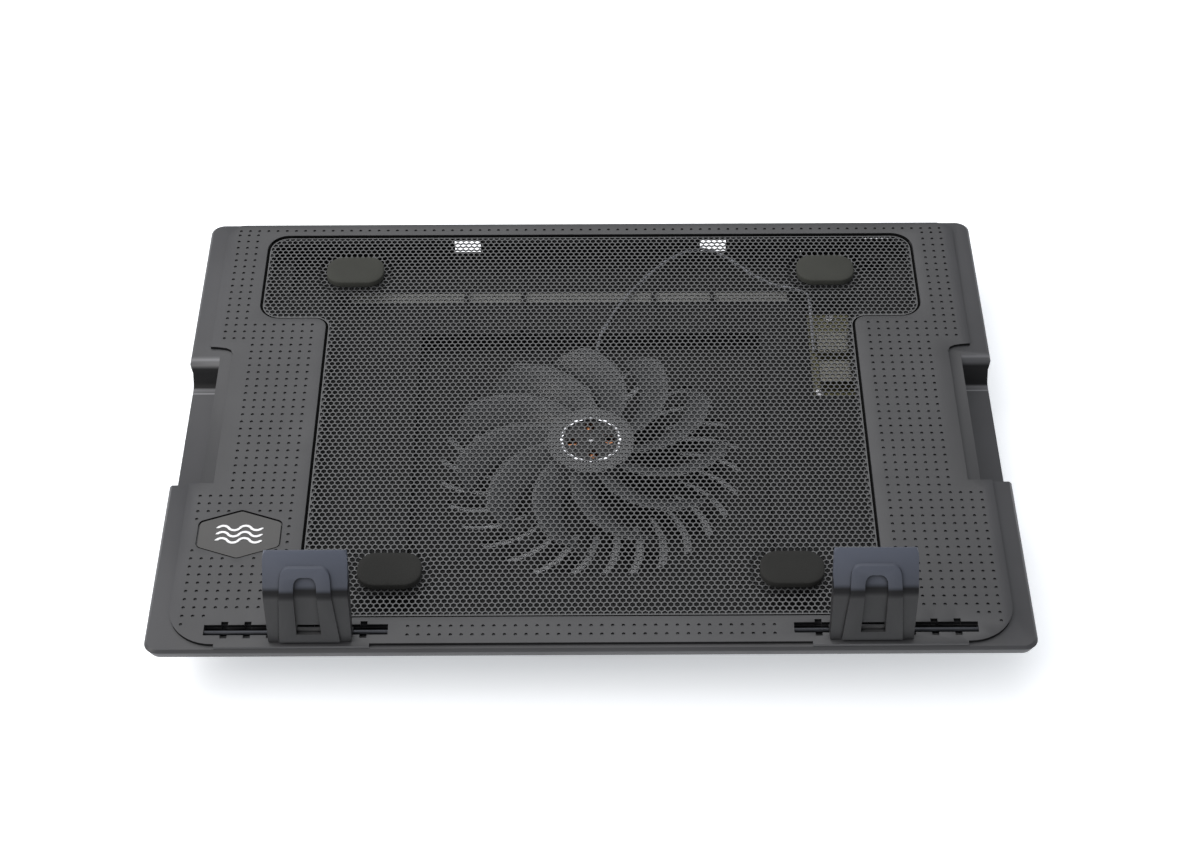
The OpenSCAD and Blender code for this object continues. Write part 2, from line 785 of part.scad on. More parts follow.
// Dark disc inside the yoke, with a round window over each coil
module rotor_cap() {
    color([0.1, 0.1, 0.11]) translate([0, fan_y, hub_top_z - 1.8]) difference() {
        cylinder(r = yoke_r - yoke_t - 0.02, h = 1.4);
        translate([0, 0, -1]) cylinder(r = shaft_r + 0.02, h = 4);
        for (i = [0:coil_count - 1]) rotate(5 + 360 / coil_count * i) translate([coil_ring_r, 0, -1])
            cylinder(r = 2.6, h = 4);
    }
}

// ---------- wire and electronics ----------

function cross_dir(p, q) = let (d = q - p) [-d[1], d[0], 0] / norm([d[0], d[1]]);

function ring_at(path, i, r, sides) =
    let (
        p = path[max(i - 1, 0)], q = path[min(i + 1, len(path) - 1)],
        t = (q - p) / norm(q - p), u = cross_dir(p, q), v = cross(t, u)
    ) [for (k = [0:sides - 1]) path[i] + r * (cos(360 * k / sides) * u + sin(360 * k / sides) * v)];

module tube(path, r, sides) {
    n = len(path);
    points = [for (i = [0:n - 1]) each ring_at(path, i, r, sides)];
    skin = [for (i = [0:n - 2], k = [0:sides - 1])
        let (a = i * sides + k, b = i * sides + (k + 1) % sides) each [[a, b, b + sides], [a, b + sides, a + sides]]];
    polyhedron(
        points = points,
        faces = concat(
            skin, [[for (k = [0:sides - 1]) sides - 1 - k]], [[for (k = [0:sides - 1]) (n - 1) * sides + k]]
        )
    );
}

module fan_wire() {
    color([0.5, 0.5, 0.52]) tube(wire_route, wire_r, 8);
}

module usb_board() {
    color([0.55, 0.48, 0.3]) difference() {
        translate([board_x[0], board_y[0], board_z])
            cube([board_x[1] - board_x[0], board_y[1] - board_y[0], board_t]);
        for (p = board_posts) translate([p[0], p[1], board_z - 1]) cylinder(r = 1.2, h = 4);
    }
}

module board_screws() {
    color([0.55, 0.55, 0.57]) for (p = board_posts)
        translate([p[0], p[1], board_z + board_t]) mirror([0, 0, 1]) screw(2, 1.2, 0.95, 3.6);
}

// Metal shell of a USB-A socket, its mouth to the right
module usb_socket(y) {
    color([0.78, 0.78, 0.76]) translate([socket_x, y - socket_w / 2, board_z + board_t]) difference() {
        cube([socket_len, socket_w, socket_h]);
        translate([2, 0.5, 0.5]) cube([socket_len, socket_w - 1, socket_h - 1]);
    }
}

module usb_tongues() {
    color([0.9, 0.9, 0.9]) for (y = socket_y)
        translate([socket_x + 2, y - 5.5, board_z + board_t + 3.6]) cube([socket_len - 5, 11, 1.6]);
}

// Housing of the slide switch, open to the rear
module switch_body() {
    color([0.1, 0.1, 0.1]) difference() {
        translate([switch_x - 6, 118.5, trough_z + wall]) cube([12, 7.4, 7]);
        translate([switch_x - 4.4, 119.7, switch_z - 2]) cube([8.8, 8, 4]);
    }
}

module switch_slider() {
    color([0.85, 0.85, 0.85]) translate([switch_x - 1.5, 0, switch_z]) {
        translate([-2, 120.2, -1.5]) cube([4, 4.6, 3]);
        translate([-1, 124, -1]) cube([2, 6.4, 2]);
    }
}

// Metal shell of the small power socket, its mouth to the rear
module power_inlet() {
    color([0.78, 0.78, 0.76]) translate([inlet_x - 3.9, 118, inlet_z]) difference() {
        cube([7.8, 9.6, 4]);
        translate([0.4, 1, 0.4]) cube([7, 9.6, 3.2]);
    }
}

// ---------- base and leg ----------

// Where the foot bar stands at each height step
function step_y(i) = hinge_y + 2 * link_len * cos(tilt_max * (i + 1) / rack_steps);

module rail() {
    rack_front_y = step_y(rack_steps - 1) - 8;
    translate([rail_x[0], frame_front_y, frame_z]) cube([rail_x[1] - rail_x[0], frame_rear_y - frame_front_y, 6]);
    difference() {
        translate([rail_x[0], rack_front_y, frame_z])
            cube([rack_w, foot_y + 6 - rack_front_y, rack_z - frame_z]);
        for (i = [0:rack_steps - 1]) translate([rail_x[0] - 1, step_y(i), rack_z + 1.2])
            rotate([0, 90, 0]) cylinder(r = bar_r, h = rack_w + 2);
    }
}

module cross_member(y0, y1) {
    translate([-rail_x[0] - 1, y0, frame_z]) cube([2 * rail_x[0] + 2, y1 - y0, 8]);
}

// A pair of ears either side of the tray's knuckle
module hinge_ears() {
    for (s = [-1, 1]) translate([s * (knuckle_w / 2 + 0.3 + ear_w / 2), 0, 0]) {
        translate([0, hinge_y, hinge_z]) rotate([0, 90, 0]) cylinder(r = 4.2, h = ear_w, center = true);
        rotate([90, 0, 90]) linear_extrude(ear_w, center = true) polygon([
            [hinge_y - 2.6, hinge_z - 3.3], [frame_front_y, frame_z + 1],
            [frame_front_y + 6, frame_z + 1], [frame_front_y + 6, rack_z], [hinge_y + 2.4, hinge_z + 3.4]
        ]);
    }
}

module base_frame() {
    color([0.17, 0.17, 0.18]) difference() {
        union() {
            on_both_wings() rail();
            cross_member(frame_front_y, -92);
            cross_member(106, frame_rear_y);
            for (x = [-70, 70]) translate([x, 112, rack_z - EPS]) cylinder(r = 4, h = rest_z - rack_z);
            for (x = [-hinge_x, hinge_x]) translate([x, 0, 0]) hinge_ears();
        }
        for (x = [-hinge_x, hinge_x]) {
            translate([x, hinge_y, hinge_z]) rotate([0, 90, 0]) cylinder(r = pin_r + 0.02, h = 30, center = true);
            translate([x - knuckle_w / 2 - 0.3, hinge_y - 5, frame_z - 1]) cube([knuckle_w + 0.6, 16, 20]);
        }
    }
}

module base_foot(sx, sy) {
    color([0.1, 0.1, 0.1]) translate([sx * foot_pos[0], sy < 0 ? foot_pos[1] : foot_pos[2], 0]) linear_extrude(frame_z)
        rounded_rect(foot_size[1], foot_size[0], 3);
}

module hinge_pin(side) {
    len = knuckle_w + 2 * ear_w + 0.6;
    color([0.75, 0.75, 0.77]) translate([side * hinge_x, hinge_y, hinge_z])
        rotate([0, 90, 0]) cylinder(r = pin_r, h = len, center = true);
}

module leg_arm() {
    translate([arm_x[0], pivot_y, hinge_z - arm_h / 2]) cube([arm_x[1] - arm_x[0], link_len, arm_h]);
    for (y = [pivot_y, foot_y])
        translate([arm_x[0], y, hinge_z]) rotate([0, 90, 0]) cylinder(r = arm_h / 2, h = arm_x[1] - arm_x[0]);
}

module support_leg() {
    color([0.2, 0.2, 0.21]) difference() {
        union() {
            on_both_wings() leg_arm();
            translate([0, foot_y, hinge_z]) rotate([0, 90, 0]) cylinder(r = bar_r, h = 2 * bar_x, center = true);
        }
        for (s = [-1, 1]) translate([s * (arm_x[0] + arm_x[1]) / 2, pivot_y, hinge_z])
            rotate([0, 90, 0]) cylinder(r = pin_r + pin_gap, h = 20, center = true);
    }
}

module leg_pin(side) {
    color([0.75, 0.75, 0.77]) translate([side * (well_x - 2), pivot_y, hinge_z]) rotate([0, side * 90, 0]) {
        cylinder(r = pin_r, h = arm_x[1] - well_x + 2.4);
        translate([0, 0, arm_x[1] - well_x + 2.3]) cylinder(r = 3.2, h = 1);
    }
}

base_frame();
base_foot(-1, -1);  // base_foot_front_left
base_foot(1, -1);  // base_foot_front_right
base_foot(-1, 1);  // base_foot_rear_left
base_foot(1, 1);  // base_foot_rear_right
hinge_pin(-1);  // hinge_pin_left
hinge_pin(1);  // hinge_pin_right
deck();
mesh_panel();
tray();
tray_screws();
badge_plate();
badge_mark();
pad_at(-pad_front[0], pad_front[1]);  // pad_front_left
pad_at(pad_front[0], pad_front[1]);  // pad_front_right
pad_at(-pad_rear[0], pad_rear[1]);  // pad_rear_left
pad_at(pad_rear[0], pad_rear[1]);  // pad_rear_right
stopper_rod(-1);  // stopper_rod_left
stopper_rod(1);  // stopper_rod_right
stopper_sleeve(-1);  // stopper_sleeve_left
stopper_sleeve(1);  // stopper_sleeve_right
stopper_at(-1);  // stopper_left
stopper_at(1);  // stopper_right
motor_base();
motor_screws();
stator_core();
motor_coils();
fan_bearing();
fan_hub();
fan_blades();
rotor_yoke();
rotor_cap();
fan_shaft();
fan_wire();
usb_board();
board_screws();
usb_socket(socket_y[0]);  // usb_socket_rear
usb_socket(socket_y[1]);  // usb_socket_front
usb_tongues();
switch_body();
switch_slider();
power_inlet();
support_leg();
leg_pin(-1);  // leg_pin_left
leg_pin(1);  // leg_pin_right
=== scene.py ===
import math

import bmesh
import bpy
import numpy as np
from mathutils import Matrix, Vector, geometry, noise


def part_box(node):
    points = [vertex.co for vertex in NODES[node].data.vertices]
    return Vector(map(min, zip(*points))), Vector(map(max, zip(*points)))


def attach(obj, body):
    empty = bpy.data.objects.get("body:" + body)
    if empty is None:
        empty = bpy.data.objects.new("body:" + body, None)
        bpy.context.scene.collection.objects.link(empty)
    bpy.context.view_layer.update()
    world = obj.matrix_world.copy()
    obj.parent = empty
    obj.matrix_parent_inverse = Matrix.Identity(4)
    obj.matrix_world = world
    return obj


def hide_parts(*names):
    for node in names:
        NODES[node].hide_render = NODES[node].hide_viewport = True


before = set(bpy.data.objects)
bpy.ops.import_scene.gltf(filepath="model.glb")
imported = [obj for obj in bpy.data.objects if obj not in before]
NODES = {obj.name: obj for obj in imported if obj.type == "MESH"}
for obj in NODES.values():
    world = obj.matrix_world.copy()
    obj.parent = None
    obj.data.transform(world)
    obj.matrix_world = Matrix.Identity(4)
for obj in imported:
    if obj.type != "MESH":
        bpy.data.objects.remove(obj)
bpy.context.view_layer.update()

MM = 0.001
DECK_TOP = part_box("deck")[1][2]
ARC_STEPS = 8

# ---------- shader helpers ----------


def parts_of(mat):
    return mat.node_tree, mat.node_tree.nodes["Principled BSDF"]


def tree_of(name):
    mat = bpy.data.materials.new(name)
    mat.use_nodes = True
    return mat, *parts_of(mat)


def add(tree, kind, **values):
    """Adds a node; a value sets an input socket by name, or a property if no socket has that name."""
    node = tree.nodes.new(kind)
    for key, value in values.items():
        label = key.replace("_", " ")
        if label in node.inputs:
            node.inputs[label].default_value = value
        else:
            setattr(node, key, value)
    return node


def object_coords(tree, stretch=(1, 1, 1)):
    coords = tree.nodes.new("ShaderNodeTexCoord")
    if stretch == (1, 1, 1):
        return coords.outputs["Object"]
    mapping = add(tree, "ShaderNodeMapping", Scale=stretch)
    tree.links.new(coords.outputs["Object"], mapping.inputs["Vector"])
    return mapping.outputs["Vector"]


def split_of(tree, vector):
    """The X, Y and Z outputs of a vector."""
    node = tree.nodes.new("ShaderNodeSeparateXYZ")
    tree.links.new(vector, node.inputs["Vector"])
    return node.outputs["X"], node.outputs["Y"], node.outputs["Z"]


def ramp(tree, source, stops):
    node = tree.nodes.new("ShaderNodeValToRGB")
    tree.links.new(source, node.inputs["Fac"])
    elements = node.color_ramp.elements
    while len(elements) < len(stops):
        elements.new(0.5)
    for element, (position, colour) in zip(elements, stops):
        element.position = position
        element.color = (*colour, 1)
    return node.outputs["Color"]


def shade(colour, factor):
    return tuple(min(1, c * factor) for c in colour)


def mottled(tree, source, colour, dark, light):
    """The colour, from dark to light times its strength as the source goes up."""
    return ramp(tree, source, [(0.3, shade(colour, dark)), (0.7, shade(colour, light))])


def noise_out(tree, coords, scale, detail=3.0, rough=0.5):
    node = add(tree, "ShaderNodeTexNoise", Scale=scale, Detail=detail, Roughness=rough)
    tree.links.new(coords, node.inputs["Vector"])
    return node.outputs["Fac"]


def remap(tree, source, low, high, to_low=0.0, to_high=1.0):
    """Maps the source from low..high to to_low..to_high."""
    node = add(tree, "ShaderNodeMapRange", From_Min=low, From_Max=high, To_Min=to_low, To_Max=to_high)
    tree.links.new(source, node.inputs["Value"])
    return node.outputs["Result"]


def bump_in(tree, shader, height, strength, distance):
    node = add(tree, "ShaderNodeBump", Strength=strength, Distance=distance)
    tree.links.new(height, node.inputs["Height"])
    tree.links.new(node.outputs["Normal"], shader.inputs["Normal"])


def math_of(tree, operation, *values):
    node = add(tree, "ShaderNodeMath", operation=operation)
    for socket, value in zip(node.inputs, values):
        if isinstance(value, (int, float)):
            socket.default_value = value
        else:
            tree.links.new(value, socket)
    return node.outputs[0]


def all_of(tree, first, *others):
    """1 where every one of the yes-or-no outputs is 1."""
    for other in others:
        first = math_of(tree, "MULTIPLY", first, other)
    return first


def mix_of(tree, factor, colour, other):
    """Mix of a plain colour and another output."""
    node = tree.nodes.new("ShaderNodeMix")
    node.data_type = "RGBA"
    node.inputs["A"].default_value = (*colour, 1)
    tree.links.new(factor, node.inputs["Factor"])
    tree.links.new(other, node.inputs["B"])
    return node.outputs["Result"]


def product_of(tree, colour, factor):
    """Product of two colour outputs."""
    node = tree.nodes.new("ShaderNodeMix")
    node.data_type = "RGBA"
    node.blend_type = "MULTIPLY"
    node.inputs["Factor"].default_value = 1
    tree.links.new(colour, node.inputs["A"])
    tree.links.new(factor, node.inputs["B"])
    return node.outputs["Result"]


def tint(mat, factor):
    """Multiplies the material's base colour by a factor."""
    tree, shader = parts_of(mat)
    source = shader.inputs["Base Color"].links[0].from_socket
    tree.links.new(product_of(tree, source, factor), shader.inputs["Base Color"])


# ---------- kinds of material ----------

MOTTLE_SCALE = 22
GLOSS_SCALE = 60
GLOSS_SPREAD = 0.05


def plastic(
    name, colour, rough, grain=1800, grain_depth=0.00004, grain_strength=0.35, mottle=0.12, **sockets
):
    """Moulded plastic: faint mottle in colour and gloss, and a fine grain; sockets are the shader's own."""
    mat, tree, shader = tree_of(name)
    coords = object_coords(tree)
    broad = noise_out(tree, coords, MOTTLE_SCALE, detail=4.0)
    tree.links.new(mottled(tree, broad, colour, 1 - mottle, 1 + mottle), shader.inputs["Base Color"])
    gloss = remap(
        tree, noise_out(tree, coords, GLOSS_SCALE), 0, 1, rough - GLOSS_SPREAD, rough + GLOSS_SPREAD
    )
    tree.links.new(gloss, shader.inputs["Roughness"])
    bump_in(tree, shader, noise_out(tree, coords, grain), grain_strength, grain_depth)
    for key, value in sockets.items():
        shader.inputs[key.replace("_", " ")].default_value = value
    return mat


def metal(name, colour, rough, scratch=(900, 900, 60), depth=0.00001):
    """Bare metal with a drawn or turned grain along one direction."""
    mat, tree, shader = tree_of(name)
    lines = noise_out(tree, object_coords(tree, scratch), 1.0, rough=0.6)
    tree.links.new(mottled(tree, lines, colour, dark=0.85, light=1.1), shader.inputs["Base Color"])
    tree.links.new(remap(tree, lines, 0, 1, rough - 0.06, rough + 0.08), shader.inputs["Roughness"])
    shader.inputs["Metallic"].default_value = 1
    bump_in(tree, shader, lines, strength=0.3, distance=depth)
    return mat


def powder_coat(name, lit, walls, rough, fleck_scale=700, grain=5000):
    """Powder-coated steel with painted light: the top face is painted brighter, and the walls of its holes
    get painted shade.
    """
    mat, tree, shader = tree_of(name)
    coords = tree.nodes.new("ShaderNodeTexCoord")
    upward = split_of(tree, coords.outputs["Normal"])[2]
    fleck = noise_out(tree, coords.outputs["Object"], fleck_scale)
    # Painted light: faces turned up get the lit colour with a random fleck; the hole walls and underside
    # get the dark painted shade.
    painted_lit_top = mottled(tree, fleck, lit, dark=0.8, light=1.25)
    tree.links.new(mix_of(tree, upward, walls, painted_lit_top), shader.inputs["Base Color"])
    gloss = remap(tree, fleck, 0, 1, rough - GLOSS_SPREAD, rough + GLOSS_SPREAD)
    tree.links.new(gloss, shader.inputs["Roughness"])
    bumps = noise_out(tree, coords.outputs["Object"], grain)
    bump_in(tree, shader, bumps, strength=0.25, distance=0.00002)
    return mat


TONE_SPAN = 100  # mm
CREASE_REACH = 0.003
CREASE_SHADE_TONES = [(0.5, (0.1, 0.1, 0.1)), (0.86, (1, 1, 1))]


def painted_light_by_height(name, tones, rough, **look):
    """Plastic with painted shade in its creases and painted light and shade by height; tones = [(mm over
    the table, colour)].
    """
    mat = plastic(name, tones[0][1], rough, **look)
    tree, shader = parts_of(mat)
    height = split_of(tree, object_coords(tree))[2]
    share = remap(tree, height, 0, TONE_SPAN * MM)
    colour = ramp(tree, share, [(z / TONE_SPAN, tone) for z, tone in tones])
    tree.links.new(colour, shader.inputs["Base Color"])
    # Painted shade: the ambient occlusion darkens the creases, down to a tenth where most enclosed.
    creases = add(
        tree, "ShaderNodeAmbientOcclusion", only_local=True, samples=8, Distance=CREASE_REACH
    )
    tint(mat, ramp(tree, creases.outputs["AO"], CREASE_SHADE_TONES))
    return mat


# Painted highlights (tone above 1) and painted shade (tone below 1) across the ramp behind each lowered
# strip, from front to rear: (share of RAMP_SPAN, tone)
RAMP_SPAN = (0.02, 0.05)
RAMP_PAINTED_LIGHT = (
    (0.22, 1), (0.228, 2.8), (0.245, 2.8), (0.255, 0.95), (0.275, 1.5), (0.32, 1.7), (0.36, 0.22),
    (0.53, 0.25), (0.57, 1.25), (0.62, 1.3), (0.655, 2.2), (0.69, 1.4), (0.73, 1),
)
STRIP_INNER_X = 0.1762
# The step's walls get painted shade: normal neither too far up nor too far sideways, above STEP_LOW_Z,
# behind STEP_FRONT_Y
STEP_UP, STEP_SIDEWAYS = 0.6, 0.85
STEP_LOW_Z = 0.0304
STEP_FRONT_Y = -0.1336
STEP_PAINTED_SHADE = 0.8
DECK_SPECULAR = 0.5


def shade_deck(mat):
    """Painted highlights on the edges and painted shade on the slope of the ramps behind the lowered
    strips; painted shade on the step round the panel.
    """
    tree, shader = parts_of(mat)
    coords = tree.nodes.new("ShaderNodeTexCoord")
    x, y, z = split_of(tree, coords.outputs["Object"])
    sideways, _, upward = split_of(tree, coords.outputs["Normal"])
    tones = ramp(tree, remap(tree, y, *RAMP_SPAN), [
        (share, (tone, tone, tone * 1.03)) for share, tone in RAMP_PAINTED_LIGHT
    ])
    on_strip = math_of(tree, "GREATER_THAN", math_of(tree, "ABSOLUTE", x), STRIP_INNER_X)
    step = all_of(
        tree,
        math_of(tree, "LESS_THAN", upward, STEP_UP),
        math_of(tree, "GREATER_THAN", z, STEP_LOW_Z),
        math_of(tree, "LESS_THAN", math_of(tree, "ABSOLUTE", sideways), STEP_SIDEWAYS),
        math_of(tree, "GREATER_THAN", y, STEP_FRONT_Y),
    )
    # Painted shade on the step's walls.
    painted_step_shade = math_of(tree, "SUBTRACT", 1, math_of(tree, "MULTIPLY", step, STEP_PAINTED_SHADE))
    level = product_of(tree, mix_of(tree, on_strip, (1, 1, 1), tones), painted_step_shade)
    tint(mat, level)
    # The specular level follows the same painted light and shade.
    gloss = math_of(tree, "MULTIPLY", level, DECK_SPECULAR)
    tree.links.new(gloss, shader.inputs["Specular IOR Level"])


# ---------- materials ----------

DECK = plastic("deck_abs", (0.037, 0.037, 0.0392), 0.46, grain=1500, grain_strength=0.3)
shade_deck(DECK)
TRAY = plastic("tray_abs", (0.011, 0.011, 0.0115), 0.55, Specular_IOR_Level=0.25)
BASE = plastic("base_abs", (0.05, 0.05, 0.054), 0.5)
# Painted light by height on the stoppers: painted shade on the lower face, a near-black painted shadow band
# at the bend, and a lighter bluish painted sky reflection on the lip.
STOPPER = painted_light_by_height(
    "stopper_abs",
    [(56.6, (0.031, 0.031, 0.032)), (58.6, (0.008, 0.008, 0.009)), (60.2, (0.008, 0.008, 0.009)),
     (61.6, (0.062, 0.067, 0.083)), (74, (0.084, 0.093, 0.12))],
    0.42, grain=900, grain_strength=0.08, mottle=0.06, Specular_IOR_Level=0.15,
)
# Lit colour for the sheet's top face, and near-black painted shade for the walls of its holes.
POWDER = powder_coat("mesh_powder", (0.07, 0.071, 0.073), (0.005, 0.005, 0.006), 0.4)
FOAM_LOOK = {"grain": 1700, "grain_depth": 0.00012, "grain_strength": 0.8, "mottle": 0.2}
# The front pads take a darker copy of the same foam as painted shade; the rear pads keep the lighter one.
FOAM = plastic("pad_foam", (0.036, 0.037, 0.031), 0.92, **FOAM_LOOK)
SHADED_FOAM = plastic("pad_foam_painted_shade", (0.012, 0.012, 0.0105), 0.92, **FOAM_LOOK)
# Light grey for the painted highlight along the tray's ledge.
LEDGE_HIGHLIGHT = plastic("ledge_painted_highlight", (0.22, 0.22, 0.205), 0.4, grain=900)
# Near-black for the painted shade in the groove round the sheet.
GROOVE_SHADE = plastic("groove_painted_shade", (0.004, 0.004, 0.004), 0.95, Specular_IOR_Level=0.1)
RUBBER = plastic("foot_rubber", (0.02, 0.02, 0.02), 0.8, grain=900, grain_strength=0.5)
SMOKE = plastic(
    "rotor_smoke", (0.16, 0.165, 0.172), 0.25, grain=400, grain_strength=0.05, mottle=0.05,
    Transmission_Weight=0.35, IOR=1.45,
)
BADGE_PLATE = plastic("badge_plate", (0.03, 0.0285, 0.0265), 0.32, grain=700, grain_strength=0.1)
MARK = plastic("badge_print", (0.86, 0.86, 0.87), 0.45, grain=2500, grain_strength=0.2, mottle=0.03)
BLACK = plastic("black_plastic", (0.02, 0.02, 0.022), 0.42)
WHITE = plastic("white_plastic", (0.75, 0.75, 0.73), 0.4, mottle=0.04)
BOARD = plastic("board_resin", (0.16, 0.15, 0.07), 0.38, grain=2600, grain_strength=0.3, mottle=0.2)
WIRE = plastic("wire_pvc", (0.3, 0.31, 0.34), 0.4, grain=600, mottle=0.08)
STEEL = metal("plain_steel", (0.62, 0.62, 0.64), 0.3)
YOKE = metal("yoke_steel", (0.75, 0.76, 0.79), 0.2)
TIN = metal("tin_plate", (0.18, 0.175, 0.15), 0.3)
COPPER = metal("coil_copper", (0.78, 0.33, 0.15), 0.35, scratch=(300, 300, 4000), depth=0.00012)
BRONZE = metal("bearing_bronze", (0.6, 0.42, 0.22), 0.4)
CORE = metal("core_steel", (0.35, 0.35, 0.37), 0.4, scratch=(60, 60, 2500), depth=0.00006)
ROD = metal("rod_steel", (0.05, 0.052, 0.058), 0.45, scratch=(60, 1500, 1500))

NODE_MATERIALS = {
    "base_foot_front_left": RUBBER, "base_foot_front_right": RUBBER,
    "base_foot_rear_left": RUBBER, "base_foot_rear_right": RUBBER,
    "hinge_pin_left": STEEL, "hinge_pin_right": STEEL, "leg_pin_left": STEEL, "leg_pin_right": STEEL,
    "tray_screws": STEEL, "motor_screws": STEEL, "board_screws": STEEL, "fan_shaft": STEEL,
    "badge_plate": BADGE_PLATE, "badge_mark": MARK, "stopper_rod_left": ROD, "stopper_rod_right": ROD,
    "stopper_sleeve_left": BLACK, "stopper_sleeve_right": BLACK, "motor_base": BLACK, "stator_core": CORE,
    "motor_coils": COPPER, "fan_bearing": BRONZE, "rotor_yoke": YOKE, "rotor_cap": BLACK, "fan_hub": SMOKE,
    "usb_board": BOARD, "usb_socket_rear": TIN, "usb_socket_front": TIN, "power_inlet": TIN,
    "usb_tongues": WHITE, "switch_body": BLACK, "switch_slider": WHITE, "mesh_panel": POWDER,
    "deck": DECK, "tray": TRAY, "base_frame": BASE, "support_leg": BASE, "stopper_left": STOPPER,
    "stopper_right": STOPPER, "fan_blades": SMOKE, "fan_wire": WIRE, "pad_front_left": SHADED_FOAM,
    "pad_front_right": SHADED_FOAM, "pad_rear_left": FOAM, "pad_rear_right": FOAM,
}
for node_name, node_material in NODE_MATERIALS.items():
    node_mesh = NODES[node_name].data
    node_mesh.materials.clear()
    node_mesh.materials.append(node_material)

# ---------- mesh helpers ----------

SOFT_ANGLE = math.radians(32)
FLAT_ANGLE = math.radians(0.4)
WELD_DIST = 2e-6


def new_piece(name, mesh, body, mat, replaces=(), smooth=40):
    mesh.materials.clear()
    mesh.materials.append(mat)
    if smooth:
        mesh.shade_smooth()
        mesh.set_sharp_from_angle(angle=math.radians(smooth))
    piece = bpy.data.objects.new(name, mesh)
    bpy.context.scene.collection.objects.link(piece)
    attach(piece, body)
    if replaces:
        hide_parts(*replaces)
    return piece


def mesh_from(name, verts, faces):
    mesh = bpy.data.meshes.new(name)
    mesh.from_pydata([tuple(v) for v in verts], [], [tuple(f) for f in faces])
    mesh.update()
    return mesh


def node_bmesh(name):
    """The node's solids as a bmesh with its flat faces whole."""
    bm = bmesh.new()
    bm.from_mesh(NODES[name].data)
    bmesh.ops.remove_doubles(bm, verts=bm.verts, dist=WELD_DIST)
    bmesh.ops.dissolve_limit(bm, angle_limit=FLAT_ANGLE, verts=bm.verts, edges=bm.edges)
    return bm


def soften(bm, width, keep=lambda edge: True):
    """Rounds the sharp edges that are longer than the rounding is wide."""
    edges = [
        e for e in bm.edges
        if len(e.link_faces) == 2 and e.calc_face_angle(0) > SOFT_ANGLE
        and e.calc_length() > width and keep(e)
    ]
    bmesh.ops.bevel(
        bm, geom=edges, offset=width, segments=2, profile=0.5, affect="EDGES", clamp_overlap=True
    )


def to_mesh(bm, name):
    mesh = bpy.data.meshes.new(name)
    bm.to_mesh(mesh)
    bm.free()
    for layer in ("custom_normal", "sharp_edge"):
        if layer in mesh.attributes:
            mesh.attributes.remove(mesh.attributes[layer])
    return mesh


def arc(cx, cy, r, start, end):
    turns = [math.radians(start + (end - start) * k / ARC_STEPS) for k in range(ARC_STEPS + 1)]
    return [(cx + r * math.cos(a), cy + r * math.sin(a)) for a in turns]


def within(spots, walls, batch=2000):
    """True for each spot that an odd number of walls lies to the right of."""
    inside = np.zeros(len(spots), bool)
    (ax, ay), (bx, by) = walls[:, 0].T, walls[:, 1].T
    span = np.where(by == ay, 1, by - ay)
    for start in range(0, len(spots), batch):
        x, y = spots[start:start + batch, 0:1], spots[start:start + batch, 1:2]
        hits = ((ay > y) != (by > y)) & (x < (bx - ax) * (y - ay) / span + ax)
        inside[start:start + batch] = hits.sum(axis=1) % 2 == 1
    return inside


# ---------- camera and light ----------

CENTRE = (0, 0, 0)
CAMERA_OVER_DECK = (0.0029, -0.7482, 0.7789)
CAMERA_TURN = (43.718, 0.129, -0.245)

camera_data = bpy.data.cameras.new("camera")
camera_data.lens = 70
camera_data.sensor_width = 36
camera = bpy.data.objects.new("camera", camera_data)
bpy.context.scene.collection.objects.link(camera)
camera.location = Vector(CAMERA_OVER_DECK) + Vector((0, 0, DECK_TOP))
camera.rotation_euler = [math.radians(a) for a in CAMERA_TURN]
bpy.context.scene.camera = camera


def area_light(name, place, aim, size, power, colour):
    data = bpy.data.lights.new(name, "AREA")
    data.shape = "RECTANGLE"
    data.size, data.size_y = size
    data.energy = power
    data.color = colour
    light = bpy.data.objects.new(name, data)
    bpy.context.scene.collection.objects.link(light)
    turn = (Vector(aim) - Vector(place)).to_track_quat("-Z", "Y")
    light.matrix_world = Matrix.Translation(place) @ turn.to_matrix().to_4x4()


COOL, WARM, BLUE, NEUTRAL = (0.99, 0.99, 1), (1, 0.97, 0.94), (0.9, 0.95, 1), (1, 1, 1)
area_light("softbox_top", (-0.5, 0.7, 1.5), CENTRE, size=(2.6, 1.6), power=26, colour=COOL)
area_light("softbox_left", (-1.4, -0.6, 1.2), (-0.1, -0.1, 0), size=(1.0, 1.2), power=15, colour=WARM)
area_light("softbox_right", (1.6, 0.2, 1.0), CENTRE, size=(1.0, 1.2), power=1, colour=BLUE)
area_light("softbox_front", (-0.2, -1.9, 0.5), CENTRE, size=(2.4, 0.9), power=5, colour=NEUTRAL)

world = bpy.data.worlds.new("studio")
bpy.context.scene.world = world
world.use_nodes = True
world.node_tree.nodes["Background"].inputs["Color"].default_value = (0.95, 0.97, 1, 1)
world.node_tree.nodes["Background"].inputs["Strength"].default_value = 0.45

FLOOR_REACH = 3
GLOW_STRETCH = (5.2, 7.6, 1)
GLOW_AWAY, GLOW_IN_PAINTED_SHADOW = 0.44, 0.07


def paper():
    """Pale backdrop that glows a little, with a painted shadow under the part where it glows less."""
    mat = plastic("floor_paper", (0.9, 0.91, 0.93), 0.75, mottle=0.005, grain_strength=0.02)
    tree, shader = parts_of(mat)
    middle = add(tree, "ShaderNodeTexGradient", gradient_type="SPHERICAL")
    tree.links.new(object_coords(tree, GLOW_STRETCH), middle.inputs["Vector"])
    # Painted shadow: the glow drops from GLOW_AWAY to its lowest under the middle of the part.
    glow = remap(tree, middle.outputs["Fac"], 0.1, 0.4, GLOW_AWAY, GLOW_IN_PAINTED_SHADOW)
    tree.links.new(glow, shader.inputs["Emission Strength"])
    shader.inputs["Emission Color"].default_value = (0.94, 0.97, 1, 1)
    return mat


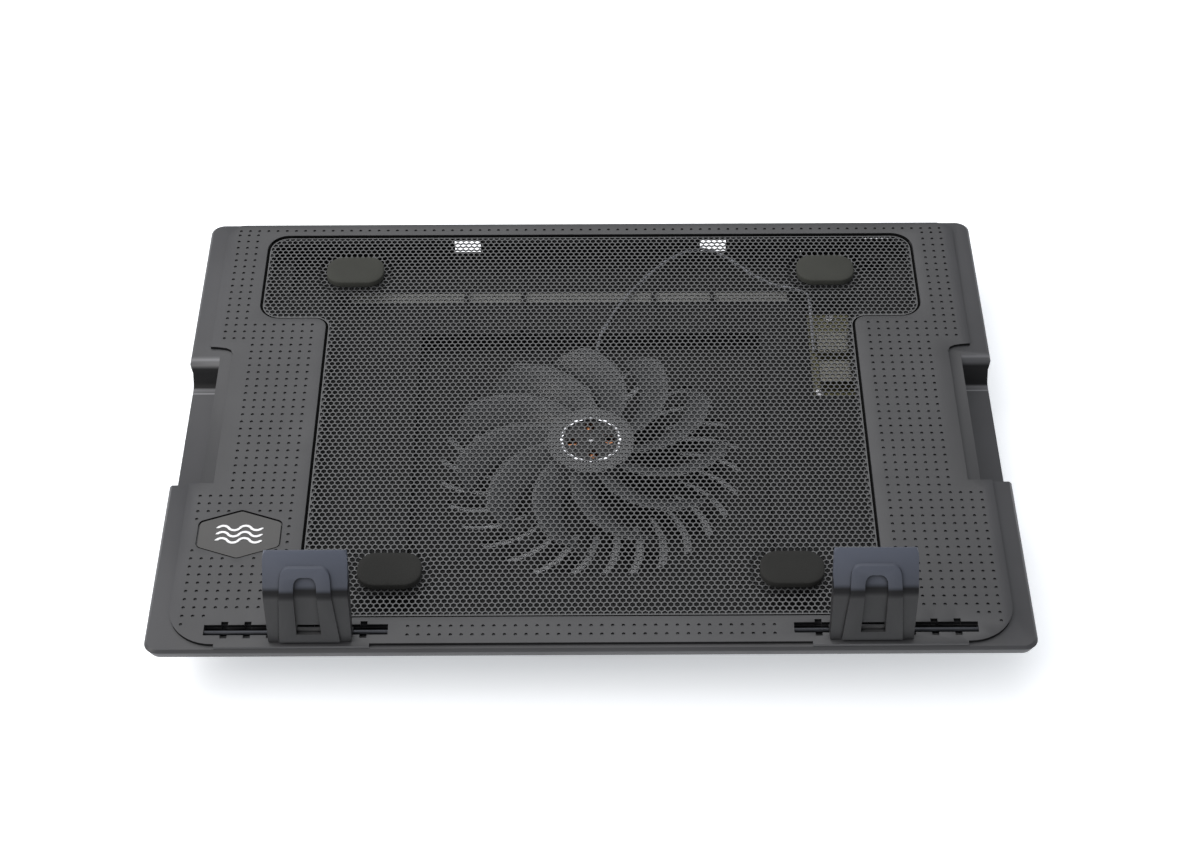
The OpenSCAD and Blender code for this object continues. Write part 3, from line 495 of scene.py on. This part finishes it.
floor_corners = [(x * FLOOR_REACH, y * FLOOR_REACH, 0) for x, y in ((-1, -1), (1, -1), (1, 1), (-1, 1))]
floor_mesh = mesh_from("floor", floor_corners, [(0, 1, 2, 3)])
floor_mesh.materials.append(paper())
floor = bpy.data.objects.new("floor", floor_mesh)
bpy.context.scene.collection.objects.link(floor)
bpy.context.scene.view_settings.view_transform = "Standard"

# ---------- perforated sheet ----------

SHEET_LOW, SHEET_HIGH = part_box("mesh_panel")
STEM_HALF = 0.126
BAR_FRONT = 0.0673
BAR_CORNER_R, STEM_CORNER_R, INNER_CORNER_R = 0.009, 0.007, 0.007
SHEET_T = 0.0006
HOLE_PITCH = 0.00275
HOLE_FLATS = 0.0022
HOLE_R = HOLE_FLATS / math.sqrt(3)
ROW_PITCH = HOLE_PITCH * math.sqrt(3) / 2
# Holes are laid out this far past the sheet's edge, then moved in to HOLE_INSET from it
HOLE_SLACK, HOLE_INSET = 0.003, 0.0002
HOLE_ANGLES = np.radians(30 + 60 * np.arange(6))
HOLE_RING = HOLE_R * np.stack([np.cos(HOLE_ANGLES), np.sin(HOLE_ANGLES)], axis=1)
BAND_W, BAND_PROUD = 0.0005, 2e-5
PADS = ["pad_front_left", "pad_front_right", "pad_rear_left", "pad_rear_right"]
SEAT_MARGIN, SEAT_CORNER, SEAT_SLOPE, SEAT_DEPTH = 0.0042, 0.007, 0.0016, 0.0006


def sheet_outline(inset=0.0):
    """T-shaped outline, counter-clockwise from the front right corner."""
    bar_x = SHEET_HIGH[0] - inset
    stem_x = STEM_HALF - inset
    front, rear, step = SHEET_LOW[1] + inset, SHEET_HIGH[1] - inset, BAR_FRONT + inset
    bar_r, stem_r, inner_r = BAR_CORNER_R - inset, STEM_CORNER_R - inset, INNER_CORNER_R + inset
    right = (
        arc(stem_x - stem_r, front + stem_r, stem_r, -90, 0)
        + arc(stem_x + inner_r, step - inner_r, inner_r, 180, 90)
        + arc(bar_x - bar_r, step + bar_r, bar_r, -90, 0)
        + arc(bar_x - bar_r, rear - bar_r, bar_r, 0, 90)
    )
    left = [(-x, y) for x, y in reversed(right)]
    return np.array(right + left)


def clamp_to(points, loop):
    """Moves the points that are outside the closed loop to the nearest place on it."""
    after = np.roll(loop, -1, axis=0)
    outside = ~within(points, np.stack([loop, after], axis=1))
    strayed = points[outside][:, None, :]
    side = (after - loop)[None]
    share = np.clip(((strayed - loop[None]) * side).sum(-1) / (side * side).sum(-1), 0, 1)
    near = loop[None] + share[..., None] * side
    best = ((near - strayed) ** 2).sum(-1).argmin(axis=1)
    moved = points.copy()
    moved[outside] = near[np.arange(len(best)), best]
    return moved


def sunk(points):
    """Depth of the pressed octagonal seats under the pads."""
    share = np.zeros(len(points))
    for pad in PADS:
        low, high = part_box(pad)
        half = np.array([(high[0] - low[0]) / 2, (high[1] - low[1]) / 2]) + SEAT_MARGIN
        centre = np.array([(high[0] + low[0]) / 2, (high[1] + low[1]) / 2])
        away = np.abs(points - centre)
        past_corner_cut = (away[:, 0] + away[:, 1] - (half.sum() - SEAT_CORNER)) / math.sqrt(2)
        past_sides = np.maximum(away[:, 0] - half[0], away[:, 1] - half[1])
        gap = np.maximum(past_sides, past_corner_cut)
        share = np.maximum(share, np.clip(-gap / SEAT_SLOPE, 0, 1))
    return share * SEAT_DEPTH


def hole_grid():
    """The number of each hole by column and row, and the centres of the holes."""
    columns = int(SHEET_HIGH[0] / HOLE_PITCH) + 2
    first_row = int(SHEET_LOW[1] / ROW_PITCH) - 2
    last_row = int(SHEET_HIGH[1] / ROW_PITCH) + 2
    index = {}
    centres = []
    for j in range(first_row, last_row + 1):
        for i in range(-columns, columns + 1):
            x = (i + 0.5 * (j % 2)) * HOLE_PITCH
            y = j * ROW_PITCH
            reach = STEM_HALF if y < BAR_FRONT - HOLE_SLACK else SHEET_HIGH[0]
            if abs(x) < reach + HOLE_SLACK:
                index[(i, j)] = len(centres)
                centres.append((x, y))
    return index, np.array(centres)


def webs_at(index, i, j):
    """Faces between the hole at (i, j) and its neighbours; the corners are numbered six to a hole."""
    shift = j % 2
    here = 6 * index[(i, j)]
    right, up_right, up_left, down_right = (
        None if index.get(place) is None else 6 * index[place]
        for place in ((i + 1, j), (i + shift, j + 1), (i + shift - 1, j + 1), (i + shift, j - 1))
    )
    webs = []
    if right is not None:
        webs.append((here + 5, right + 3, right + 2, here))
    if up_right is not None:
        webs.append((here, up_right + 4, up_right + 3, here + 1))
    if up_left is not None:
        webs.append((here + 1, up_left + 5, up_left + 4, here + 2))
    if right is not None and up_right is not None:
        webs.append((here, right + 2, up_right + 4))
    if right is not None and down_right is not None:
        webs.append((here + 5, down_right + 1, right + 3))
    return webs


def add_edge_band(bm, top, low):
    """Plain band round the sheet's edge, a hair proud of both faces."""
    outer, inner = sheet_outline(), sheet_outline(BAND_W)
    top, low = top + BAND_PROUD, low - BAND_PROUD
    section = ((outer, top), (inner, top), (inner, low), (outer, low))
    rings = [[bm.verts.new((x, y, z)) for x, y in loop] for loop, z in section]
    for k in range(len(outer)):
        m = (k + 1) % len(outer)
        for one, two in zip(rings, rings[1:] + rings[:1]):
            bm.faces.new((one[k], one[m], two[m], two[k]))


def build_sheet():
    index, centres = hole_grid()
    corners = (centres[:, None, :] + HOLE_RING[None]).reshape(-1, 2)
    corners = clamp_to(corners, sheet_outline(HOLE_INSET))
    dip = sunk(corners)
    top, low = SHEET_HIGH[2], SHEET_HIGH[2] - SHEET_T
    below = len(corners)
    verts = np.concatenate([np.column_stack([corners, z - dip]) for z in (top, low)])
    faces = []
    for (i, j), number in index.items():
        webs = webs_at(index, i, j)
        faces += webs
        faces += [tuple(v + below for v in reversed(web)) for web in webs]
        ring = [6 * number + side for side in range(6)]
        faces += [(a, b, b + below, a + below) for a, b in zip(ring, ring[1:] + ring[:1])]
    mesh = mesh_from("perforated_sheet", verts, faces)
    bm = bmesh.new()
    bm.from_mesh(mesh)
    bmesh.ops.remove_doubles(bm, verts=bm.verts, dist=WELD_DIST / 2)
    bmesh.ops.dissolve_degenerate(bm, edges=bm.edges, dist=WELD_DIST)
    add_edge_band(bm, top, low)
    bm.to_mesh(mesh)
    bm.free()
    return mesh


new_piece("perforated_sheet", build_sheet(), "deck", POWDER, ["mesh_panel"], smooth=0)

# Painted shade: a thin black strip fills the bottom of the groove round the sheet.
GROOVE_SHADE_OUT, GROOVE_SHADE_IN = 0.00122, 0.00006
GROOVE_SHADE_BELOW, GROOVE_SHADE_ABOVE = 0.00068, 0.0002


def build_groove_shade():
    """Black strip of painted shade at the bottom of the groove round the sheet."""
    low, high = SHEET_LOW[2] - GROOVE_SHADE_BELOW, SHEET_LOW[2] + GROOVE_SHADE_ABOVE
    outer, inner = sheet_outline(-GROOVE_SHADE_OUT), sheet_outline(-GROOVE_SHADE_IN)
    section = ((outer, low), (outer, high), (inner, high), (inner, low))
    count = len(outer)
    verts = [(x, y, z) for loop, z in section for x, y in loop]
    faces = []
    for ring in range(len(section)):
        start, after = ring * count, (ring + 1) % len(section) * count
        for k in range(count):
            m = (k + 1) % count
            faces.append((start + k, after + k, after + m, start + m))
    return mesh_from("groove_shade_strip", verts, faces)


new_piece("groove_shade_strip", build_groove_shade(), "deck", GROOVE_SHADE)

# ---------- deck with its dimples ----------

DIMPLE_PITCH = 0.0046
DIMPLE_R, DIMPLE_DEPTH, DIMPLE_SIDES = 0.00078, 0.0006, 8
BOWL_R = 0.7 * DIMPLE_R
DIMPLE_TURNS = [math.radians(22.5 + 360 * k / DIMPLE_SIDES) for k in range(DIMPLE_SIDES)]
GRID_COLUMNS, GRID_ROWS = 10, 55
GRID_INNER_X, GRID_REAR_Y = 0.1337, 0.1261
# Rows across the middle: (y, dimples to each side of the middle one)
CROSS_ROWS = ((0.1293, 38), (-0.1238, 17), (-0.1285, 17))
BAR_MARGIN_X, BAR_MARGIN_Y = 0.005, 0.0048
STRIP_FRONT_Y, STRIP_REAR_Y, STRIP_X = -0.045, 0.0493, 0.1645
BADGE_AT = (-0.1553, -0.0714)
BADGE_HALF_W, BADGE_HALF_D, BADGE_SLOPE = 0.0199, 0.0156, 0.367
# A row at y or further to the front starts at x, past the end of the stopper's slot
SLOT_ROWS = ((-0.1165, 0.1645), (-0.121, 0.1745))
CORNER_AT, CORNER_R = (0.161, -0.113), 0.0192
INSIDE_WITH_HOLES = 2
CLOSE = 1e-7
FACES_UP, LEVEL_DIST = 0.999, 1e-6


def near_badge(x, y):
    dx, dy = abs(x - BADGE_AT[0]), abs(y - BADGE_AT[1])
    return dx < BADGE_HALF_W and dy + BADGE_SLOPE * dx < BADGE_HALF_D


def past_front(x, y):
    """True beside the stopper's slot and past the rounded front corner of the raised panel."""
    starts = [first_x for front_y, first_x in SLOT_ROWS if y <= front_y]
    if not starts:
        return False
    return x < starts[-1] or math.hypot(x - CORNER_AT[0], y - CORNER_AT[1]) > CORNER_R


def on_wing(x, y):
    """True where the grid of the wing at +X has room for a dimple."""
    beside_bar = y > BAR_FRONT - BAR_MARGIN_Y and x < SHEET_HIGH[0] + BAR_MARGIN_X
    beside_strip = STRIP_FRONT_Y < y < STRIP_REAR_Y and x > STRIP_X
    return not (beside_bar or beside_strip or past_front(x, y))


def dimple_spots():
    spots = []
    for side in (-1, 1):
        for column in range(GRID_COLUMNS):
            x = GRID_INNER_X + DIMPLE_PITCH * column
            for row in range(GRID_ROWS):
                y = GRID_REAR_Y - DIMPLE_PITCH * row
                if on_wing(x, y) and not near_badge(side * x, y):
                    spots.append((side * x, y))
    for row_y, reach in CROSS_ROWS:
        spots += [(k * DIMPLE_PITCH, row_y) for k in range(-reach, reach + 1)]
    return spots


def add_bowl(bm, x, y, level):
    """One dimple, open at the top; gives the vertices of its rim."""
    rim, bowl = (
        [bm.verts.new((x + r * math.cos(a), y + r * math.sin(a), z)) for a in DIMPLE_TURNS]
        for r, z in ((DIMPLE_R, level), (BOWL_R, level - DIMPLE_DEPTH))
    )
    for k in range(DIMPLE_SIDES):
        m = (k + 1) % DIMPLE_SIDES
        bm.faces.new((rim[k], rim[m], bowl[m], bowl[k]))
    bm.faces.new(bowl)
    return rim


def open_flats(bm, level):
    """Deletes the flat faces at z = level; gives the vertices of their border and its edges by number."""
    flats = [
        f for f in bm.faces
        if f.normal.z > FACES_UP and all(abs(v.co.z - level) < LEVEL_DIST for v in f.verts)
    ]
    uses = {}
    for face in flats:
        for edge in face.edges:
            uses[edge] = uses.get(edge, 0) + 1
    border = [edge for edge, times in uses.items() if times == 1]
    verts = list(dict.fromkeys(v for edge in border for v in edge.verts))
    where = {v: k for k, v in enumerate(verts)}
    edges = [(where[edge.verts[0]], where[edge.verts[1]]) for edge in border]
    bmesh.ops.delete(bm, geom=flats, context="FACES_KEEP_BOUNDARY")
    return verts, edges


def cut_dimples(bm, level):
    """Re-triangulates the flat faces at z = level around a small bowl at each spot."""
    verts, edges = open_flats(bm, level)
    for x, y in dimple_spots():
        start = len(verts)
        verts += add_bowl(bm, x, y, level)
        edges += [(start + k, start + (k + 1) % DIMPLE_SIDES) for k in range(DIMPLE_SIDES)]
    points = [Vector((v.co.x, v.co.y)) for v in verts]
    spots, _, triangles, sources, _, _ = geometry.delaunay_2d_cdt(
        points, edges, [], INSIDE_WITH_HOLES, CLOSE, True
    )
    place = [
        verts[source[0]] if source else bm.verts.new((spot.x, spot.y, level))
        for spot, source in zip(spots, sources)
    ]
    flat_spots = np.array([(spot.x, spot.y) for spot in spots])
    triangles = np.array(triangles)
    walls = np.array([[points[a][:], points[b][:]] for a, b in edges])
    for triangle in triangles[within(flat_spots[triangles].mean(axis=1), walls)]:
        corners = [place[k] for k in triangle]
        if len(set(corners)) == 3:
            bm.faces.new(corners)


DECK_ROUNDING, ROUNDED_DOWN_TO = 0.00035, DECK_TOP - 0.0135
deck_bm = node_bmesh("deck")
soften(deck_bm, DECK_ROUNDING, keep=lambda e: min(v.co.z for v in e.verts) > ROUNDED_DOWN_TO)
cut_dimples(deck_bm, DECK_TOP)
new_piece("deck_shell", to_mesh(deck_bm, "deck_shell"), "deck", DECK, ["deck"], smooth=38)

# ---------- other moulded shells ----------

for name, body, mat, slot, width in (
    ("tray", "deck", TRAY, "tray_plastic", 0.0004),
    ("base_frame", "base", BASE, "base_plastic", 0.0006),
    ("support_leg", "leg", BASE, "leg_plastic", 0.0006),
    ("stopper_left", "left_stopper", STOPPER, "stopper_plastic", 0.0004),
    ("stopper_right", "right_stopper", STOPPER, "stopper_plastic", 0.0004),
):
    part = node_bmesh(name)
    soften(part, width)
    new_piece(name + "_shell", to_mesh(part, name + "_shell"), body, mat, [name], smooth=38)

# ---------- painted highlight: bright strip on the tray's ledge ---

LEDGE_LOW, LEDGE_HIGH = (-0.118, 0.088, 0.02052), (0.097, 0.0948, 0.0207)


def build_box(name, low, high):
    verts = [(x, y, z) for x in (low[0], high[0]) for y in (low[1], high[1]) for z in (low[2], high[2])]
    faces = [(0, 1, 3, 2), (4, 6, 7, 5), (0, 4, 5, 1), (2, 3, 7, 6), (0, 2, 6, 4), (1, 5, 7, 3)]
    return mesh_from(name, verts, faces)


ledge_highlight_mesh = build_box("ledge_painted_highlight", LEDGE_LOW, LEDGE_HIGH)
new_piece("ledge_painted_highlight", ledge_highlight_mesh, "deck", LEDGE_HIGHLIGHT)

# ---------- foam pads ----------

# From the bottom up: (inset from the side, share of the height)
PAD_LEVELS = ((0, 0), (0, 0.3), (0, 0.8), (0.0002, 0.93), (0.0007, 1), (0.003, 1), (0.0065, 1))
SIDE_SHARE = 0.8
PAD_ROUNDING, PAD_LEAST_R = 0.85, 0.0006
PAD_UNEVEN, PAD_SAG = 0.00012, 0.00014
UNEVEN_SCALE, UNEVEN_SHIFT = 180, 70


def rounded_ring(w, d, r):
    ring = []
    for cx, cy, start in ((1, 1, 0), (-1, 1, 90), (-1, -1, 180), (1, -1, 270)):
        ring += arc(cx * (w / 2 - r), cy * (d / 2 - r), r, start, start + 90)
    return ring


def build_pad(node):
    """Pad with a rounded top edge and a slightly uneven top."""
    low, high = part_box(node)
    w, d, h = (high[k] - low[k] for k in range(3))
    cx, cy = (low[0] + high[0]) / 2, (low[1] + high[1]) / 2
    radius = min(w, d) / 2 * PAD_ROUNDING
    verts, faces = [], []
    for inset, share in PAD_LEVELS:
        ring = rounded_ring(w - 2 * inset, d - 2 * inset, max(PAD_LEAST_R, radius - inset))
        for x, y in ring:
            spot = (x * UNEVEN_SCALE + cx * UNEVEN_SHIFT, y * UNEVEN_SCALE + cy * UNEVEN_SHIFT, share)
            lift = PAD_UNEVEN * noise.noise(Vector(spot)) - PAD_SAG
            verts.append((cx + x, cy + y, low[2] + h * share + (lift if share > SIDE_SHARE else 0)))
    count, top = len(ring), len(verts) - len(ring)
    for start in range(0, top, count):
        for m in range(count):
            p = (m + 1) % count
            faces.append((start + m, start + p, start + count + p, start + count + m))
    faces.append(tuple(range(count - 1, -1, -1)))
    faces.append(tuple(range(top, top + count)))
    return mesh_from("foam_" + node, verts, faces)


for pad_node in PADS:
    foam = NODE_MATERIALS[pad_node]
    pad_piece = new_piece(
        "foam_" + pad_node, build_pad(pad_node), "deck", foam, [pad_node], smooth=50
    )

# ---------- fan blades (in mm until the last line of blade_point) ----------

FAN = Vector((0, -0.012, 0))
BLADES = 11
ROOT_R, TIP_R = 19.6, 62.5
BLADE_HIGH, BLADE_LOW, BLADE_T, SWEEP = 27.6, 17.6, 1.2, 34
ROOT_CHORD, CHORD_GROWTH = 12, 8
TIP_FROM, TIP_CUT = 0.85, 0.1
CAMBER, EDGE_SHARE = 1.2, 0.45
DEGREES_PER_RADIAN = 57.3
ALONG, ACROSS = 20, 12


def blade_point(s, u, side):
    """Point at s from root to tip and u across the chord; side 0 is the lower face, 1 the upper."""
    r = ROOT_R + s * (TIP_R - ROOT_R)
    chord = ROOT_CHORD + CHORD_GROWTH * s
    narrowing = 1 - TIP_CUT * max(0, s - TIP_FROM) / (1 - TIP_FROM)
    a = math.radians(SWEEP * s ** 1.5 + (u - 0.5) * chord * narrowing / r * DEGREES_PER_RADIAN)
    arch = max(0, math.sin(math.pi * u))
    thick = BLADE_T * (EDGE_SHARE + (1 - EDGE_SHARE) * arch ** 0.5)
    z = BLADE_HIGH - BLADE_T + (BLADE_LOW - BLADE_HIGH + BLADE_T) * u + CAMBER * arch + side * thick
    return r * math.cos(a) * MM, r * math.sin(a) * MM, z * MM


def build_blades():
    row, layer = ACROSS + 1, (ALONG + 1) * (ACROSS + 1)
    tip = ALONG * row
    rim = (
        list(range(row)) + [i * row + ACROSS for i in range(1, ALONG + 1)]
        + [tip + j for j in range(ACROSS - 1, -1, -1)] + [i * row for i in range(ALONG - 1, 0, -1)]
    )
    verts, faces = [], []
    for blade in range(BLADES):
        turn = Matrix.Rotation(2 * math.pi * blade / BLADES, 3, "Z")
        base = len(verts)
        for side in (0, 1):
            for i in range(ALONG + 1):
                for j in range(ACROSS + 1):
                    verts.append(turn @ Vector(blade_point(i / ALONG, j / ACROSS, side)) + FAN)
        for i in range(ALONG):
            for j in range(ACROSS):
                a = base + i * row + j
                faces.append((a, a + 1, a + row + 1, a + row))
                faces.append((a + layer, a + row + layer, a + row + 1 + layer, a + 1 + layer))
        for one, two in zip(rim, rim[1:] + rim[:1]):
            faces.append((base + two, base + one, base + one + layer, base + two + layer))
    return mesh_from("fan_blades", verts, faces)


new_piece("fan_blade_set", build_blades(), "rotor", SMOKE, ["fan_blades"], smooth=50)
